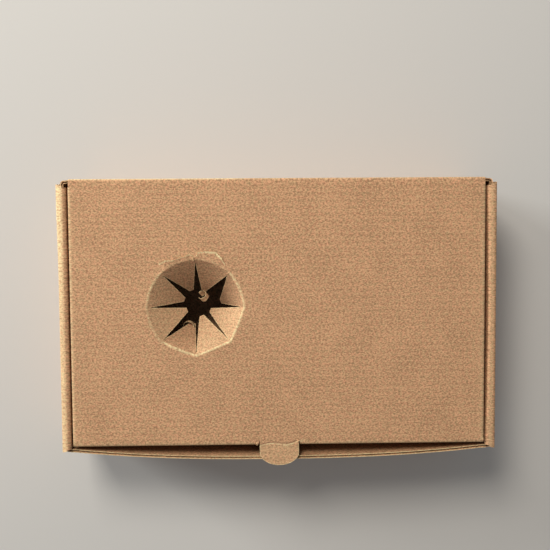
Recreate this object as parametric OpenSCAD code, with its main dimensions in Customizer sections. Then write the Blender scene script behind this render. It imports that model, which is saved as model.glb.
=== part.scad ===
// Small mailer box folded from corrugated board: a tray with double side walls
// and a hinged lid that tucks in behind the front wall. The lid has a round
// star-cut opening whose petals are pushed in, and a thumb tab at the front.
// The box stands on its base, lid up, with the lid's fold at +Y.

/* [Box] */
// Width over the side walls
box_w = 211; // [150:1:300]
// Length from the front wall's foot to the rear wall's face
box_l = 131.6; // [110:0.1:200]
// Height from the underside of the base to the top of the lid
box_h = 50; // [44:1:80]

/* [Board] */
// Thickness of the corrugated board
board_t = 1.5; // [1.2:0.1:2]
// Thickness of the board's paper facing
facing_t = 0.3; // [0.2:0.05:0.4]
// Inside radius of a crease
crease_r = 0.4; // [0.2:0.1:0.6]
// Clearance between two layers that lie against each other
layer_gap = 0.15; // [0.1:0.05:0.3]
// Slit between the lid and the rear wall along the lid's fold
hinge_slit = 0.1; // [0.05:0.05:0.2]

/* [Side walls] */
// How far a side wall stops short of the box's front face
side_front = 0; // [0:0.1:2]
// How far a side wall stops short of the box's rear face
side_rear = 1.8; // [0.5:0.1:3]
// How far the rolled-over top stops short of the outer layer's end
side_slant = 1.7; // [1:0.1:4]
// Length of each locking tab at the foot of a side wall
lock_w = 24; // [12:1:40]
// Distance between the middles of a wall's two locking tabs
lock_pitch = 70; // [50:1:80]
// Clearance around a locking tab in its slot
lock_gap = 0.3; // [0.2:0.1:0.6]

/* [Dust flaps] */
// Length of each dust flap between a side wall's layers
dust_l = 44; // [20:1:48]
// How far a dust flap stays clear of the fold above and below it
dust_drop = 1; // [0.8:0.1:3]
// How much a dust flap narrows towards its end, top and bottom
dust_taper = 3; // [1:0.5:6]
// Inside radius of the upright corner between an end wall and its dust flaps
corner_r = 1; // [0.6:0.1:2]

/* [Front wall] */
// How far the middle of the front wall's top edge has been pushed outwards
front_bow = 4.4; // [1:0.1:7]
// Straight stretch at each end of the front wall, beside the bowed one
front_stay = 2; // [1:0.5:10]
// Gap between the front wall's top edge and the lid's underside
front_drop = 0.3; // [0.2:0.1:2]
// Depth of the hollow between the facings along the front wall's top edge
edge_hollow = 0.9; // [0.4:0.1:1.5]

/* [Lid] */
// Gap between the lid and each side wall
lid_side_gap = 0.7; // [0.4:0.1:1.5]
// Gap between the lid's front fold and the front wall's corners
lid_front_gap = 1.6; // [0.6:0.1:3]
// Depth of the lid's side wings, from the top of the lid
wing_h = 38; // [15:1:40]
// How far a wing's front edge slants back from top to bottom
wing_slant = 9; // [8:0.5:14]
// Depth of the tuck-in front flap, from the top of the lid
tuck_h = 30; // [15:1:36]
// Angle by which the tuck-in flap leans into the box
tuck_lean = 7; // [6:0.5:12]
// How far each end of the tuck-in flap stops short of the lid's edge
tuck_inset = 1; // [0.5:0.5:6]
// How much the tuck-in flap narrows at each end
tuck_taper = 6; // [2:0.5:12]

/* [Thumb tab] */
// Width of the thumb tab
tab_w = 19; // [14:1:26]
// Reach of the thumb tab from the lid's front fold
tab_l = 10; // [7:0.5:14]
// Length of the tab's straight sides
tab_side = 4.2; // [2:0.1:6]
// Width of the cut around the thumb tab
tab_cut = 0.4; // [0.2:0.1:0.8]

/* [Star opening] */
// Distance of the star's middle from the lid's left edge
star_x = 60.2; // [45:0.1:90]
// Distance of the star's middle from the lid's rear fold
star_y = 61.2; // [45:0.1:75]
// Diameter over the corners of the star opening
star_d = 47.6; // [30:0.1:60]
// Number of petals cut into the star
petals = 8; // [6:1:12]
// Distance of the uncreased petal tips from the star's middle
petal_tip = 2.9; // [1.5:0.1:5]
// Width of the cut between two petals
petal_cut = 0.4; // [0.2:0.1:0.8]
// Angle by which a petal is pushed in, before its own part is added
petal_push = 38; // [20:1:45]

/* [Hidden] */
$fn = 64;

// How much more or less each petal is pushed in, from the right side round to the left
PUSH_OWN = [22, 4, 4, -1, -5, 1, -5, 7];
// Steps in a rounded corner of a flat outline
ROUND_STEPS = 6;
// Stations along the bowed front wall
BOW_STEPS = 28;
// How full the bow is: 2 is a parabola, and more is flatter in the middle
BOW_FULLNESS = 2.4;
// Length that a cutting shape runs past what it cuts
PAST = 1;

crease_out = crease_r + board_t;
corner_out = corner_r + board_t;
side_w = 3 * board_t + 2 * layer_gap;
lid_l = box_l - board_t - lid_front_gap;
lid_w = box_w - 2 * side_w - 2 * lid_side_gap;
y_rear = max(lid_l + tab_l, box_l + front_bow) / 2;
y_front = y_rear - box_l;
y_lid = y_rear - lid_l;
x_side = box_w / 2;
x_inner = x_side - side_w;
x_dust = x_side - board_t - layer_gap;
x_end = x_dust - corner_out;
x_bow = x_end - front_stay;
x_lid = lid_w / 2;
side_low = y_front + side_front;
side_high = y_rear - side_rear;
dust_top = box_h - board_t - dust_drop;
dust_foot = board_t + dust_drop;
front_top = box_h - board_t - front_drop;
star_at = [star_x - x_lid, y_rear - star_y];
rim_in = star_d / 2 * cos(180 / petals);

// Outlines with rounded corners

function unit(v) = v / norm(v);
function heading(v) = atan2(v.y, v.x);
function turn(a, b) = (b - a + 540) % 360 - 180;

// Points of the arc that rounds corner b of the outline that runs a, b, c
function rounding(a, b, c, r) =
    let (u = unit(a - b), v = unit(c - b), half = acos(u * v) / 2)
    let (middle = b + unit(u + v) * r / sin(half), reach = r / tan(half))
    let (start = heading(b + u * reach - middle))
    let (sweep = turn(start, heading(b + v * reach - middle)))
    [for (i = [0:ROUND_STEPS])
        middle + r * [cos(start + sweep * i / ROUND_STEPS), sin(start + sweep * i / ROUND_STEPS)]];

// An outline with each corner rounded by its own radius, or left sharp where that is 0
function rounded(points, radii) =
    let (n = len(points))
    [for (i = [0:n - 1])
        each radii[i] > 0
            ? rounding(points[(i + n - 1) % n], points[i], points[(i + 1) % n], radii[i])
            : [points[i]]];

// Creases and upright panels

// Stands an outline drawn in Y and Z upright, its thickness towards +X from x
module upright_x(x, thickness) {
    translate([x, 0, 0])
        rotate([90, 0, 90])
            linear_extrude(height = thickness)
                children();
}

// Board bent round an axis along X through [y, z], from an angle that starts at +Y
module crease_x(y, z, length, from, sweep) {
    translate([0, y, z])
        rotate([90, 0, 90])
            rotate([0, 0, from])
                rotate_extrude(angle = sweep)
                    translate([crease_r, -length / 2])
                        square([board_t, length]);
}

// Board bent round an axis along Y through [x, z], between two places along Y
module crease_y(x, z, y_low, y_high, from, sweep) {
    translate([x, y_high, z])
        rotate([90, 0, 0])
            rotate([0, 0, from])
                rotate_extrude(angle = sweep)
                    translate([crease_r, 0])
                        square([board_t, y_high - y_low]);
}

// Draws a piece on the right and again on the left
module both_sides() {
    children();
    mirror([1, 0, 0])
        children();
}

// Tray

module base() {
    translate([crease_out - x_side, y_front + crease_out, 0])
        cube([box_w - 2 * crease_out, box_l - 2 * crease_out, board_t]);
}

// The side wall: up from the base, rolled over the top and down again inside
module side_wall() {
    long = side_high - side_low;
    crease_y(x_side - crease_out, crease_out, side_low, side_high, 270, 90);
    translate([x_side - board_t, side_low, crease_out])
        cube([board_t, long, box_h - 2 * crease_out]);
    crease_y(x_side - crease_out, box_h - crease_out, side_low, side_high, 0, 90);
    translate([x_inner + crease_out, side_low, box_h - board_t])
        cube([side_w - 2 * crease_out, long, board_t]);
    crease_y(x_inner + crease_out, box_h - crease_out, side_low, side_high, 90, 90);
    inner_layer();
}

// The rolled-over layer, with its two locking tabs at the foot
module inner_layer() {
    foot = board_t + lock_gap;
    translate([x_inner, side_low, foot])
        cube([board_t, side_high - side_low, box_h - crease_out - foot]);
    for (end = [-1, 1])
        translate([x_inner, (y_front + y_rear + end * lock_pitch - lock_w) / 2, lock_gap])
            cube([board_t, lock_w, box_h / 2]);
}

// What the slanted ends take off the rolled-over part of a side wall
module side_slants() {
    middle = (side_low + side_high) / 2;
    half = (side_high - side_low) / 2;
    for (end = [-1, 1])
        translate([0, middle, -PAST])
            linear_extrude(height = box_h + 2 * PAST)
                polygon([
                    [x_side - board_t, end * (half + PAST)],
                    [x_side - board_t, end * half],
                    [x_inner, end * (half - side_slant)],
                    [x_inner - PAST, end * (half - side_slant)],
                    [x_inner - PAST, end * (half + PAST)],
                ]);
}

// What keeps the inner layer clear of the upright corners, below the rolled-over top
module corner_clearance() {
    for (y = [y_front - PAST, y_rear - corner_out])
        translate([x_inner - PAST, y, -PAST])
            cube([crease_out + PAST, corner_out + PAST, box_h - board_t + PAST]);
}

// Slots in the base that take the locking tabs
module lock_slots() {
    for (end = [-1, 1])
        translate([
            x_inner - lock_gap,
            (y_front + y_rear + end * lock_pitch - lock_w) / 2 - lock_gap,
            -PAST,
        ])
            cube([board_t + 2 * lock_gap, lock_w + 2 * lock_gap, board_t + 2 * PAST]);
}

// A dust flap at the rear, with the upright corner that joins it to the rear wall
module rear_dust_flap() {
    y_corner = y_rear - corner_out;
    translate([x_end, y_corner, dust_foot])
        rotate_extrude(angle = 90)
            translate([corner_r, 0])
                square([board_t, dust_top - dust_foot]);
    upright_x(x_dust - board_t, board_t)
        polygon(rounded(
            [
                [y_corner, dust_foot],
                [y_corner, dust_top],
                [y_rear - dust_l, dust_top - dust_taper],
                [y_rear - dust_l, dust_foot + dust_taper],
            ],
            [0, 0, 4, 4]
        ));
}

// The rear wall, up to its half of the rounded fold that carries the lid
module rear_wall() {
    crease_x(y_rear - crease_out, crease_out, 2 * x_end, 270, 90);
    translate([-x_end, y_rear - board_t, crease_out])
        cube([2 * x_end, board_t, dust_top - crease_out]);
    difference() {
        union() {
            translate([-x_lid, y_rear - board_t, crease_out])
                cube([lid_w, board_t, box_h - 2 * crease_out]);
            crease_x(y_rear - crease_out, box_h - crease_out, lid_w, 0, 45);
        }
        hinge_cut();
    }
}

// The thin slit that parts the lid from the rear wall across their common fold
module hinge_cut() {
    translate([0, y_rear - crease_out, box_h - crease_out])
        rotate([45, 0, 0])
            translate([-box_w / 2, 0, -hinge_slit / 2])
                cube([box_w, crease_out + PAST, hinge_slit]);
}

function bow_at(x) = front_bow * (1 - pow(min(abs(x / x_bow), 1), BOW_FULLNESS));

// The front wall's section at x: its foot is straight, and its hollow top edge is bowed out
function front_section(x) =
    let (out = y_front, in = y_front + board_t, low = front_top - edge_hollow)
    let (lean = bow_at(x), lean_low = lean * (low - crease_out) / (front_top - crease_out))
    [
        [x, out, crease_out],
        [x, out - lean, front_top],
        [x, out - lean + facing_t, front_top],
        [x, out - lean_low + facing_t, low],
        [x, in - lean_low - facing_t, low],
        [x, in - lean - facing_t, front_top],
        [x, in - lean, front_top],
        [x, in, crease_out],
    ];

module front_wall() {
    crease_x(y_front + crease_out, crease_out, 2 * x_end, 180, 90);
    sides = len(front_section(0));
    lap = x_bow + front_stay / 2;
    stations = [-lap, for (i = [0:BOW_STEPS]) x_bow * (2 * i / BOW_STEPS - 1), lap];
    last = len(stations) - 1;
    corners = [for (x = stations) each front_section(x)];
    skin = [for (i = [0:last - 1], j = [0:sides - 1])
        let (a = i * sides, b = a + sides, k = (j + 1) % sides)
        each [[a + j, b + k, b + j], [a + j, a + k, b + k]]];
    left = [for (j = [sides - 1:-1:0]) j];
    right = [for (j = [0:sides - 1]) last * sides + j];
    polyhedron(points = corners, faces = concat([left], skin, [right]), convexity = 6);
    both_sides()
        front_end();
}

// The straight end of the front wall, with the same hollow top edge
module front_end() {
    difference() {
        translate([x_bow, y_front, crease_out])
            cube([front_stay, board_t, front_top - crease_out]);
        translate([x_bow - PAST, y_front + facing_t, front_top - edge_hollow])
            cube([front_stay + 2 * PAST, board_t - 2 * facing_t, edge_hollow + PAST]);
    }
}

// The front dust flaps are the rear ones turned round to the front
module front_dust_flap() {
    translate([0, y_front + y_rear, 0])
        mirror([0, 1, 0])
            rear_dust_flap();
}

module tray() {
    color("#b98a62") {
        difference() {
            base();
            both_sides()
                lock_slots();
        }
        both_sides() {
            difference() {
                side_wall();
                side_slants();
                corner_clearance();
            }
            rear_dust_flap();
            front_dust_flap();
        }
        rear_wall();
        front_wall();
    }
}

// Lid

// Outline of the thumb tab, from behind its fold to its rounded end, with a margin round it
function tab_outline(behind, margin) =
    let (half = tab_w / 2 + margin, round = tab_l - tab_side + margin, turns = 4 * ROUND_STEPS)
    [
        [half, -behind],
        for (i = [0:turns]) [half * cos(180 * i / turns), tab_side + round * sin(180 * i / turns)],
        [-half, -behind],
    ];

module lid_panel() {
    difference() {
        union() {
            translate([crease_out - x_lid, y_lid + crease_out, box_h - board_t])
                cube([lid_w - 2 * crease_out, lid_l - 2 * crease_out, board_t]);
            difference() {
                crease_x(y_rear - crease_out, box_h - crease_out, lid_w, 45, 45);
                hinge_cut();
            }
        }
        star_hole();
    }
    thumb_tab();
}

module thumb_tab() {
    translate([0, y_lid, box_h - board_t])
        linear_extrude(height = board_t)
            mirror([0, 1])
                polygon(tab_outline(crease_out + PAST, 0));
}

// A side wing, folded down inside the side wall
module wing() {
    front = y_lid + crease_out;
    rear = y_rear - crease_out;
    crease_y(x_lid - crease_out, box_h - crease_out, front, rear, 0, 90);
    upright_x(x_lid - board_t, board_t)
        polygon(rounded(
            [
                [front, box_h - crease_out],
                [rear, box_h - crease_out],
                [rear - wing_slant / 3, box_h - wing_h],
                [front + wing_slant, box_h - wing_h],
            ],
            [0, 0, 6, 10]
        ));
}

// Section of the lid's front fold and the leaning flap below it, in Y and Z
function tuck_section() =
    let (middle = [y_lid + crease_out, box_h - crease_out], last = 180 + tuck_lean)
    let (leg = (tuck_h - crease_out) * [-sin(last), cos(last)])
    let (turns = [for (i = [0:2 * ROUND_STEPS]) 90 + (last - 90) * i / (2 * ROUND_STEPS)])
    let (outer = [for (a = turns) middle + crease_out * [cos(a), sin(a)]])
    let (inner = [for (a = turns) middle + crease_r * [cos(a), sin(a)]])
    let (end = len(turns) - 1)
    [
        each outer,
        outer[end] + leg,
        inner[end] + leg,
        each [for (i = [end:-1:0]) inner[i]],
    ];

// The front flap, tucked down inside the front wall, with the hole that the thumb tab left
module tuck_flap() {
    half = x_lid - tuck_inset;
    foot = box_h - tuck_h;
    shoulder = box_h - crease_out - PAST;
    difference() {
        intersection() {
            upright_x(-half, 2 * half)
                polygon(tuck_section());
            seen_from_front()
                polygon(rounded(
                    [
                        [-half, box_h + PAST],
                        [-half, shoulder],
                        [tuck_taper - half, foot],
                        [half - tuck_taper, foot],
                        [half, shoulder],
                        [half, box_h + PAST],
                    ],
                    [0, 0, 8, 8, 0, 0]
                ));
        }
        seen_from_front()
            translate([0, box_h])
                mirror([0, 1])
                    polygon(tab_outline(PAST, tab_cut));
    }
}

// Gives an outline drawn in X and Z a depth that takes in the whole tuck-in flap
module seen_from_front() {
    translate([0, y_lid + tuck_h, 0])
        rotate([90, 0, 0])
            linear_extrude(height = tuck_h + PAST)
                children();
}

module star_hole() {
    translate([star_at.x, star_at.y, box_h - board_t - PAST])
        linear_extrude(height = board_t + 2 * PAST)
            polygon([for (i = [0:petals - 1])
                star_d / 2 * [cos(360 * i / petals), sin(360 * i / petals)]]);
}

// One petal of the star, creased along its chord of the rim and pushed in
module petal(push) {
    slope = tan(180 / petals);
    trim = petal_cut / 2 / cos(180 / petals);
    rotate([0, push, 180])
        translate([0, 0, -board_t])
            linear_extrude(height = board_t)
                polygon([
                    [0, trim - rim_in * slope],
                    [rim_in - petal_tip, trim - petal_tip * slope],
                    [rim_in - petal_tip, petal_tip * slope - trim],
                    [0, rim_in * slope - trim],
                ]);
}

module star_petals() {
    translate([star_at.x, star_at.y, box_h])
        for (i = [0:petals - 1])
            rotate([0, 0, 360 * (i + 0.5) / petals])
                translate([rim_in, 0, 0])
                    petal(petal_push + PUSH_OWN[i % len(PUSH_OWN)]);
}

module lid() {
    color("#c39468") {
        lid_panel();
        both_sides()
            wing();
        tuck_flap();
        star_petals();
    }
}

tray();
lid();
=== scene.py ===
import math

import bmesh
import bpy
import numpy as np
from bpy.props import FloatProperty, FloatVectorProperty, PointerProperty
from bpy.types import Operator, Panel, PropertyGroup
from mathutils import Euler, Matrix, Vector, noise


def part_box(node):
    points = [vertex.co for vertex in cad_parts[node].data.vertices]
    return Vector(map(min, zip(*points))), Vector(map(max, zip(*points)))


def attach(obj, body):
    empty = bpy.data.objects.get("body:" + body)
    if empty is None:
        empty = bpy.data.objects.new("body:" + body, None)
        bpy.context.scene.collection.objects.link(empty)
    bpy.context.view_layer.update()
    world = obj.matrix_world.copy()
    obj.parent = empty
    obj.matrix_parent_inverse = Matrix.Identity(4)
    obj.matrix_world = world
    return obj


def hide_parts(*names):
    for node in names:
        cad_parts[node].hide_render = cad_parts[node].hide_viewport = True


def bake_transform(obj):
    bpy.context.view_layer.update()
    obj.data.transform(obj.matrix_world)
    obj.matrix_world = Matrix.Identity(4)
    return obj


bl_info = {
    "name": "Side order box",
    "version": (1, 0, 0),
    "blender": (4, 5, 0),
    "location": "3D View > Sidebar > Side order box",
    "description": "Dresses the folded mailer box in three-ply corrugated board",
    "category": "Object",
}

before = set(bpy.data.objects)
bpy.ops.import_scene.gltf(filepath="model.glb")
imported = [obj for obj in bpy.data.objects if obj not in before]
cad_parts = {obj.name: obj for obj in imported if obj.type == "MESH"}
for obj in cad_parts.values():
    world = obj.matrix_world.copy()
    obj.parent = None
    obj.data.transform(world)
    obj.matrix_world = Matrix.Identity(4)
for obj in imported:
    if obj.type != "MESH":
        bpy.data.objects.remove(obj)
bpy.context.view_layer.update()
TRAY_LOW, TRAY_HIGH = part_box("tray")
LID_LOW, LID_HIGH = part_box("lid")

MM = 0.001
HAIR = 1e-6                  # how near a cut may pass to a point without splitting there
CREASE_STEPS = 6             # faces across a crease
FACING_ROWS = 4              # rows of faces in a flute, on a facing
FLUTING_ROWS = 8             # rows of faces in a flute, on the fluting
FRAY_SEED = 5                # keeps the stray of the frayed edges the same each time
SHARP = math.radians(50)     # an edge that turns more than this stays sharp
SEAM = 0.05 * MM             # how near a join a point counts as on it
FRAY_SIZE = 0.9 * MM         # size of the stray along a frayed edge

# Tray
SIDE_REAR = 1.8 * MM         # a side wall stops short of the box's rear face
SIDE_SLANT = 1.7 * MM        # and its rolled-over top stops shorter still
SIDE_TURN = 1.0 * MM         # flat stretch along the top of a rolled-over wall
LOCK_WIDTH = 24 * MM
LOCK_PITCH = 70 * MM
LOCK_GAP = 0.3 * MM
LAYER_GAP = 0.15 * MM
DUST_LENGTH = 44 * MM
DUST_DROP = 1 * MM
DUST_TAPER = 3 * MM
DUST_CORNER = 1 * MM         # inside radius of the upright corner at a dust flap
DUST_ROUND = 4 * MM
FRONT_DROP = 0.3 * MM        # gap between the front wall's top edge and the lid
FRONT_STAY = 2 * MM
BOW_FULLNESS = 2.4
EDGE_HOLLOW = 0.9 * MM       # how far the fluting stops short of the front wall's top edge
STRIP_PRESS = 0.8 * MM       # how far the right wall's inner layer is pressed outwards
STRIP_PRESS_HALF = 64 * MM
PRESS_EASE = 2 * MM          # over how much of the rolled-over top the press grows
PRESS_RISE = 20 * MM         # and over how much of the wall's height
STRIP_RIDGE = 2.9 * MM       # from a side wall's outer face to the ridge along its top
STRIP_DROP = {-1: 0.42, 1: 0.02}    # how steeply the top falls from the ridge to the outer face
STRIP_DIP = {-1: 0.05, 1: 0.16}     # and to the inner face
CROWN_DEPTH = 7 * MM         # how far down from the top the ridge starts to shape a wall
CROWN_EASE = 6 * MM
REAR_SWELL = 0.55 * MM       # how far the rear wall stands out near the lid's fold
SIDE_FLARE = 0.5 * MM        # how far the left wall leans out towards its rear top corner
FLARE_FROM = 20 * MM         # where the lean starts, from the box's middle to its rear
FLARE_RUN = 45 * MM
FLARE_RISE = 24 * MM
FLARE_DEPTH = 3.2 * MM       # how much of the wall's thickness leans
FLARE_EASE = 3 * MM
CREASE_SQUARE = 3.6          # 2 is a round crease, and more fills its corner

# Lid
WING_DEPTH = 38 * MM
WING_SLANT = 9 * MM
WING_ROUND = 10 * MM
TUCK_DEPTH = 30 * MM
TUCK_LEAN = 7                # degrees that the tuck-in flap leans into the box
TUCK_INSET = 1 * MM          # from the lid's end to the tuck-in flap's
TUCK_TAPER = 6 * MM
TUCK_ROUND = 8 * MM
TAB_SIDE = 3.8 * MM          # length of the tab's straight sides
TAB_CUT = 0.4 * MM           # width of the cut round the tab
TAB_TURNS = 16               # straight stretches round the tab's end
TAB_LINE = 0.45 * MM         # from the lid's front face back to the tab's wavy crease line
# that line's waves: places across the tab, and how far back it is there, in millimetres
TAB_WAVE = ((-9.6, -5, -2.3, 1.2, 4, 6, 8.8, 9.8), (-0.8, 0.14, 0.27, -0.27, -0.4, 0, 1.1, 1.3))
CUT_PALE = 0.4 * MM          # how far a cut edge shows pale on the facing

# Star opening: its middle, and what each petal has of its own, from the right round to the left
STAR_AT = Vector((-39.8 * MM, 8.05 * MM))
PETALS = 8
PETAL_TIP = 2.9 * MM
PETAL_CUT = 0.3 * MM
SLIT_END = 21.4 * MM         # where the cuts between the petals end, from the star's middle
PETAL_PUSH = (59, 46, 47, 43, 35, 55, 36, 43)
PETAL_SKEW = (-0.16, 0, 0, 0, 0, 0.07, 0, 0)    # how far each strays aside on its way down
PETAL_ROUND = (0.8, 0.9, 0.9, 0.9, 0.8, 0.25, 0.1, 0.2)
PETAL_SAG = 7                # degrees that a petal curves on from its crease to its tip
# rows of faces across a petal's crease: millimetres inwards from its chord
PETAL_ROWS = (-1.9, -1.4, -0.9, -0.45, 0, 0.3, 0.6, 0.9, 1.3)
# strength of the painted highlight along each petal's crease
PETAL_CREASE_HIGHLIGHT = (0.75, 0.2, 0.2, 0.75, 0.5, 1.0, 1.0, 1.0)
# painted light (above 0) and painted shade (below 0) on each petal's blade
PETAL_PAINTED_LIGHT_AND_SHADE = (-0.3, -0.12, -0.12, 0.08, 0.14, -0.12, 0.14, 0.14)

# Torn paper at the star: places from its middle, in millimetres, along each torn edge
TEAR_SHEET = 0.2 * MM
TEAR_EDGES = {
    "left": ((-17.6, 21.2), (-14.5, 22.6), (-9.5, 22.9), (-6, 24.2), (-2.6, 25.6), (0.2, 24.4)),
    "right": ((0.4, 24.6), (1.5, 26.5), (5, 26.9), (10.4, 26.5), (12.6, 23.6), (14.6, 20.2)),
}
# a curl's start, its heading and its width's direction, then width, length, turn in degrees
TEAR_CURLS = {
    "upper": ((1.4, 5.4, -11.5), (1, 0.3, -0.2), (0.5, -0.65, -0.6), 3.2, 12.5, -285),
    "lower": ((-2.2, -12.4, -13.5), (0.35, 1, -0.1), (0.1, 0.25, -0.95), 1.9, 12.5, 275),
    "nub": ((-1.1, 23.3, 0.0), (1, 0.2, 0.1), (0.15, -0.9, 0.1), 1.5, 2.1, -190),
}
TAB_NUBS = {
    "left": ((-11.1, 0.1, -0.1), (1, 0.1, 0.2), (0.1, -0.9, 0.1), 1.2, 2.1, -175),
    "right": ((8.8, 1.2, 0.0), (1, 0.35, 0.2), (-0.2, -0.9, 0.1), 1.0, 2.1, -165),
}

# Kraft paper: how fine each part of its pattern is, in repeats a metre
CLOUDS, FIBRES, MOTTLE, TINT, FLECKS, RAGGED = 55, 1700, 1150, 620, 700, 1100
PALE_FIBRE_AND_HIGHLIGHT = (0.80, 0.66, 0.38, 1)      # pale fibres along torn and cut edges and creases, also the colour of painted highlights

# Stage: each lamp's direction, height angle, distance, size, power and colour
LAMPS = {
    "key": (117, 50, 1.0, 0.35, 6.8, (1, 0.92, 0.8)),
    "rim": (155, 12, 1.8, 0.6, 26, (1, 1, 0.95)),
}
SKY_COLOUR, SKY_STRENGTH = (1, 0.98, 0.95, 1), 0.25
CAMERA_AT = (-0.0080, 0.0443, 0.4139)
CAMERA_TURN = (-3.28, -1.04, -0.41)     # degrees
SENSOR = 36                             # millimetres
FOCAL = 760 / 550                       # focal length in picture widths


class BoxSizes(PropertyGroup):
    """Sizes of the board and of the pieces drawn on it"""

    board: FloatProperty(
        name="Board", description="Thickness of the corrugated board",
        default=1.5 * MM, min=1 * MM, max=2 * MM, precision=5, unit="LENGTH")
    facing: FloatProperty(
        name="Facing", description="Thickness of each outer paper ply",
        default=0.25 * MM, min=0.15 * MM, max=0.4 * MM, precision=5, unit="LENGTH")
    fluting: FloatProperty(
        name="Fluting", description="Thickness of the waved paper ply",
        default=0.18 * MM, min=0.1 * MM, max=0.3 * MM, precision=5, unit="LENGTH")
    flute_pitch: FloatProperty(
        name="Flute pitch", description="Distance between two flute tips",
        default=3.3 * MM, min=2.5 * MM, max=5 * MM, precision=5, unit="LENGTH")
    flute_print: FloatProperty(
        name="Flute print", description="How far the facing sinks between two flute tips",
        default=0.045 * MM, min=0, max=0.1 * MM, precision=6, unit="LENGTH")
    crease: FloatProperty(
        name="Crease", description="Inside radius of a crease",
        default=0.4 * MM, min=0.2 * MM, max=0.8 * MM, precision=5, unit="LENGTH")
    front_bow: FloatProperty(
        name="Front bow", description="How far the front wall's top edge bows outwards",
        default=4.4 * MM, min=0, max=7 * MM, precision=5, unit="LENGTH")
    tab_width: FloatProperty(
        name="Thumb tab width", description="Width of the thumb tab",
        default=19 * MM, min=14 * MM, max=26 * MM, precision=5, unit="LENGTH")
    tab_reach: FloatProperty(
        name="Thumb tab reach", description="Reach of the thumb tab from the lid's front fold",
        default=10 * MM, min=7 * MM, max=14 * MM, precision=5, unit="LENGTH")
    star: FloatProperty(
        name="Star", description="Diameter over the corners of the star opening",
        default=47.6 * MM, min=30 * MM, max=60 * MM, precision=5, unit="LENGTH")
    fray: FloatProperty(
        name="Fray", description="How far a cut edge strays from its line",
        default=0.09 * MM, min=0, max=0.3 * MM, precision=6, unit="LENGTH")


class BoxColours(PropertyGroup):
    """Colours of the board's plies and of the floor"""

    outer: FloatVectorProperty(
        name="Outer facing", description="Kraft paper on the outside",
        default=(0.515, 0.297, 0.168), min=0, max=1, subtype="COLOR")
    inner: FloatVectorProperty(
        name="Inner facing", description="Kraft paper on the inside",
        default=(0.46, 0.27, 0.15), min=0, max=1, subtype="COLOR")
    fluting: FloatVectorProperty(
        name="Fluting", description="Waved middle ply",
        default=(0.33, 0.18, 0.09), min=0, max=1, subtype="COLOR")
    cut_edge: FloatVectorProperty(
        name="Cut edge", description="Bare fibres along a cut",
        default=(0.66, 0.43, 0.25), min=0, max=1, subtype="COLOR")
    floor: FloatVectorProperty(
        name="Floor", description="Plain floor under the box",
        default=(0.6, 0.6, 0.6), min=0, max=1, subtype="COLOR")


class Layout:
    """Places on the box, from the frame and the sizes in the panel."""

    def __init__(self, sizes):
        self.board = sizes.board
        self.pitch = sizes.flute_pitch
        self.crease = sizes.crease + sizes.board
        self.corner = DUST_CORNER + sizes.board
        self.top = TRAY_HIGH.z
        self.x_side = TRAY_HIGH.x
        self.x_lid = LID_HIGH.x
        self.y_rear = TRAY_HIGH.y
        self.y_front = TRAY_LOW.y + sizes.front_bow
        self.y_lid = LID_LOW.y + sizes.tab_reach
        self.front_bow = sizes.front_bow
        self.x_dust = self.x_side - self.board - LAYER_GAP
        self.x_end = self.x_dust - self.corner
        self.x_bow = self.x_end - FRONT_STAY
        self.x_inner = self.x_side - 3 * self.board - 2 * LAYER_GAP
        self.dust_top = self.top - self.board - DUST_DROP
        self.dust_foot = self.board + DUST_DROP
        self.front_top = self.top - self.board - FRONT_DROP
        self.wall_low = self.y_front
        self.wall_high = self.y_rear - SIDE_REAR
        # where the flat panels end and their creases start
        self.wing_at = self.x_lid - self.crease
        self.lid_front = self.y_lid + self.crease
        self.hinge_lid = self.y_rear - self.crease - self.board
        self.hinge_tray = self.top - self.crease - self.board
        self.side_at = self.x_side - self.crease
        self.base_front = self.y_front + self.crease
        self.base_rear = self.y_rear - self.crease
        # the thumb tab, from the front crease to its end
        self.tab_half = sizes.tab_width / 2
        self.tab_straight = self.lid_front - self.crease - TAB_SIDE
        self.tab_round = sizes.tab_reach - TAB_SIDE
        # the star
        self.star = sizes.star / 2
        self.rim = self.star * math.cos(math.pi / PETALS)

    def crease_length(self, degrees, radius=None):
        """Length of flat board that a crease of this turn takes up."""
        return ((radius or self.crease) - self.board / 2) * math.radians(degrees)


# Folding ------------------------------------------------------------------------------

def along_fold(s, w, board, legs):
    """Folds a strip of board. s runs along the flat strip from where its first leg starts,
    and w is the height above the outer face. Each leg is (length, 0) or (outer radius, degrees).
    Gives how far each point lies on from the start, and how far to the side it folds to."""
    on, aside = s.copy(), -w
    heading, begun, at = 0.0, 0.0, np.zeros(2)
    for number, (size, turn) in enumerate(legs):
        last = number == len(legs) - 1
        angle = math.radians(turn)
        length = (size - board / 2) * angle if turn else size
        here = (s > begun) & ((s <= begun + length) | (last and not turn))
        ahead = np.array([math.cos(heading), math.sin(heading)])
        out = np.array([math.sin(heading), -math.cos(heading)])
        if turn:
            middle = at - size * out
            share = (s[here] - begun) / length
            turned = heading + share * angle
            reach = (size + w[here]) * (squared(share, turn) if size < 3 * board else 1)
            on[here] = middle[0] + reach * np.sin(turned)
            aside[here] = middle[1] - reach * np.cos(turned)
            heading += angle
            at = middle + size * np.array([math.sin(heading), -math.cos(heading)])
        else:
            on[here] = at[0] + (s[here] - begun) * ahead[0] + w[here] * out[0]
            aside[here] = at[1] + (s[here] - begun) * ahead[1] + w[here] * out[1]
            at = at + size * ahead
        begun += length
    return on, aside


def squared(share, turn):
    """How much further out a crushed crease reaches than a round one, part of the way round it."""
    quarter = share * math.pi / 2
    power = 2 + (CREASE_SQUARE - 2) * min(turn / 90, 1)
    return (np.cos(quarter) ** power + np.sin(quarter) ** power) ** (-1 / power)


def ease(t):
    """Smooth step from 0 to 1."""
    t = np.clip(t, 0, 1)
    return t * t * (3 - 2 * t)


# Flat blanks --------------------------------------------------------------------------

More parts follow.
